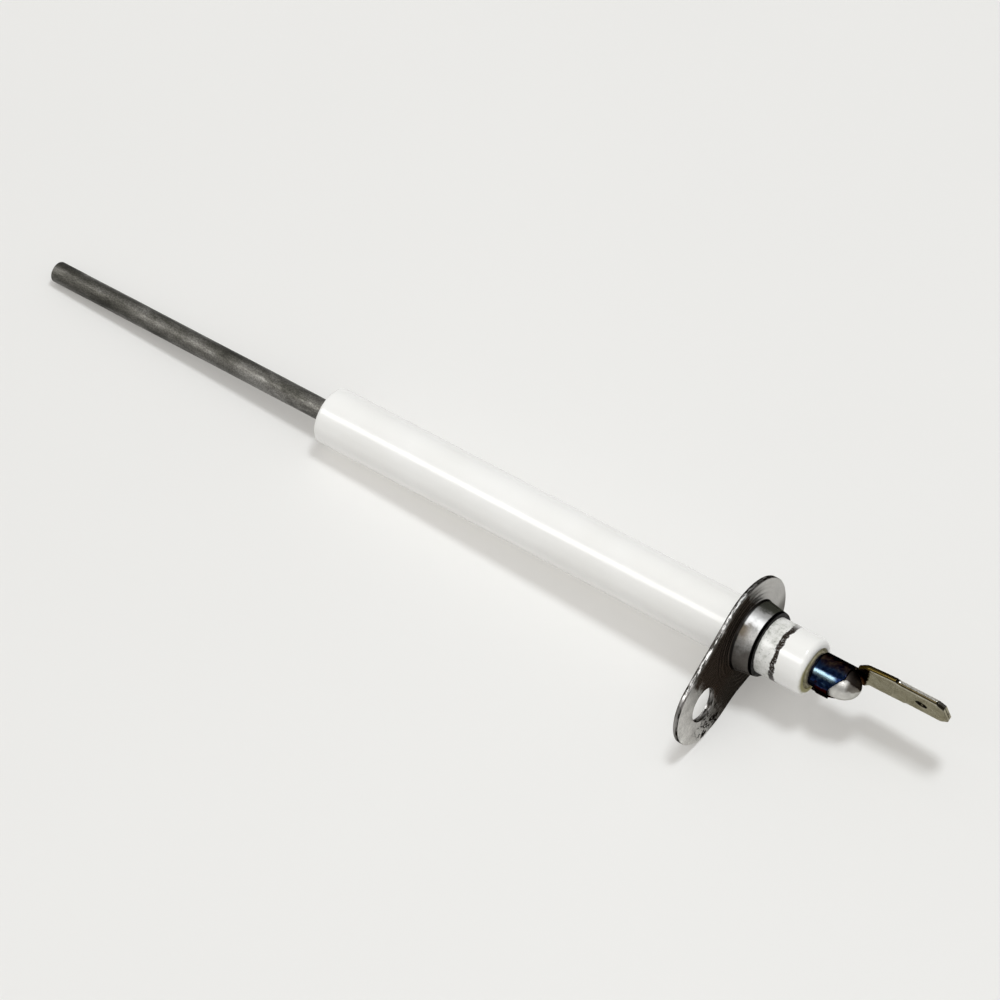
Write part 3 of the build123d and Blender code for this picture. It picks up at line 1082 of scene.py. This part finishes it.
def make_terminal():
    far = strip_half(-1, far_seam_x, 1.65 * MM, 1.6 * MM, 0.7 * MM)
    near = strip_half(1, near_seam_x, 1.1 * MM, 1.0 * MM, 0.2 * MM)[::-1]
    front = barrel_front_x + 0.2 * MM
    spacing = 0.2 * MM
    corners = [
        (front, -strip_at(20), 0.12 * MM),
        (far_seam_x, -strip_at(20), 0.12 * MM),
        *far,
        *near,
        (near_seam_x, strip_at(-12), 0.15 * MM),
        (lap_front_x, strip_at(-12), 0.15 * MM),
        (lap_front_x, strip_at(38), 0.08 * MM),
        (front, strip_at(38), 0.12 * MM),
    ]
    outline = spaced(rounded(corners, 4, closed=True), 0.12 * MM, closed=True)
    hole = arc((tab_hole_x, 0), tab_hole_radius, 2 * pi, 0, 0.12 * MM)
    rows = edge_rows(0.06 * MM, 0.06 * MM, strip, 3)
    reach = 8.2 * MM
    seeds = grid((front, -reach), (neck_start_x, reach), spacing)
    column = neck_start_x + 0.07 * MM
    while column < tab_tip_x:
        for side in (1, -1):
            flat = half_width(column, side) - fold_outer
            turn = pi * fold_mid
            steps = [flat * (k + 0.5) / 14 for k in range(14)]
            steps += [flat + turn * k / 10 for k in range(11)]
            steps += [flat + turn + flat * k / 14 for k in range(1, 14)]
            seeds += [Vector((column, side * step)) for step in steps]
        column += spacing
    sheet = stamped([(outline, rows), (hole, rows)], seeds, 0.07 * MM, strip_place)
    finish_mesh("terminal_strip", sheet, terminal_finish(), "plated_terminal", "spade_terminal")


# ---------------------------------------------------------------- stage
def make_floor():
    """Pale table top that carries the flange's flank and the rod's tip."""
    flank_z = cad_low.z
    tip_z = -rod_radius
    pitch = atan2(tip_z - flank_z, -rod_tip_x)
    size = 4.0
    bm = bmesh.new()
    bmesh.ops.create_grid(bm, x_segments=1, y_segments=1, size=size / 2)
    mesh = bpy.data.meshes.new("table_top")
    bm.to_mesh(mesh)
    bm.free()
    floor = bpy.data.objects.new("table_top", mesh)
    bpy.context.scene.collection.objects.link(floor)
    floor.matrix_world = Matrix.Translation((0, 0, flank_z)) @ Matrix.Rotation(pitch, 4, "Y")
    paper = Finish("table_paper", Roughness=0.6)
    paper.set("Base Color", paper.shades(
        paper.noise(6, 3), (0.3, (0.80, 0.795, 0.785)), (0.7, (0.82, 0.815, 0.805))
    ))
    paper.set("Normal", paper.bump(paper.noise(900, 3), 0.02 * MM, 0.1))
    mesh.materials.append(paper.material)


def area_light(name, place, aim, size_x, size_y, power, colour=(1, 1, 1)):
    light = bpy.data.lights.new(name, "AREA")
    light.shape = "RECTANGLE"
    light.size = size_x
    light.size_y = size_y
    light.energy = power
    light.color = colour
    lamp = bpy.data.objects.new(name, light)
    bpy.context.scene.collection.objects.link(lamp)
    back = (Vector(place) - Vector(aim)).normalized()
    sideways = (along - back * along.dot(back)).normalized()
    basis = Matrix((sideways, back.cross(sideways), back)).transposed().to_4x4()
    lamp.matrix_world = Matrix.Translation(place) @ basis
    return lamp


def make_lights():
    middle = Vector((-0.035, 0, 0))
    key_way = Vector((0.15, 0.16, 1.0)).normalized()
    key_place = middle + key_way * 0.8
    key_size, key_power, key_tint = 0.15, 2.15, (0.94, 0.975, 1.0)
    area_light("key_softbox", key_place, middle, key_size, key_size, key_power, key_tint)
    above = middle + Vector((0, -0.3, 1.35))
    wide, soft_power, soft_tint = 2.4, 16.3, (1.0, 0.98, 0.94)
    ceiling = area_light("ceiling_softbox", above, middle, wide, wide, soft_power, soft_tint)
    ceiling.visible_glossy = False
    ceiling.data.use_shadow = False
    strip_tilt = radians(33.7)
    strip_way = Vector((0, -sin(strip_tilt), cos(strip_tilt)))
    strip_aim = middle - along * 0.35
    strip_box = area_light("long_softbox", strip_aim + strip_way * 0.9, strip_aim, 1.7, 0.30, 7.2)
    strip_box.visible_diffuse = False
    world = bpy.data.worlds.new("studio")
    world.use_nodes = True
    sky = world.node_tree.nodes["Background"]
    sky.inputs["Color"].default_value = (1.0, 0.99, 0.97, 1)
    sky.inputs["Strength"].default_value = 0.30
    bpy.context.scene.world = world


def make_camera():
    """Camera above the terminal's end, looking back along the electrode."""
    aim = Vector((-39.06, 0.313, 0.185)) * MM
    distance = 627.13 * MM
    azimuth, elevation, roll = radians(42.37), radians(51.47), radians(-7.87)
    back = Vector((
        sin(azimuth) * cos(elevation), -cos(azimuth) * cos(elevation), sin(elevation)
    ))
    data = bpy.data.cameras.new("camera")
    data.sensor_width = 36
    data.lens = 172.8
    data.clip_start = 0.01
    camera = bpy.data.objects.new("camera", data)
    bpy.context.scene.collection.objects.link(camera)
    level = (-back).to_track_quat("-Z", "Y").to_matrix().to_4x4()
    turn = Matrix.Rotation(roll, 4, "Z")
    camera.matrix_world = Matrix.Translation(aim + back * distance) @ level @ turn
    bpy.context.scene.camera = camera
    bpy.context.scene.view_settings.view_transform = "Standard"


make_rod()
make_ceramic()
make_cements()
make_flange()
make_gap_shade_ring()
make_post()
make_terminal()
make_floor()
make_lights()
make_camera()
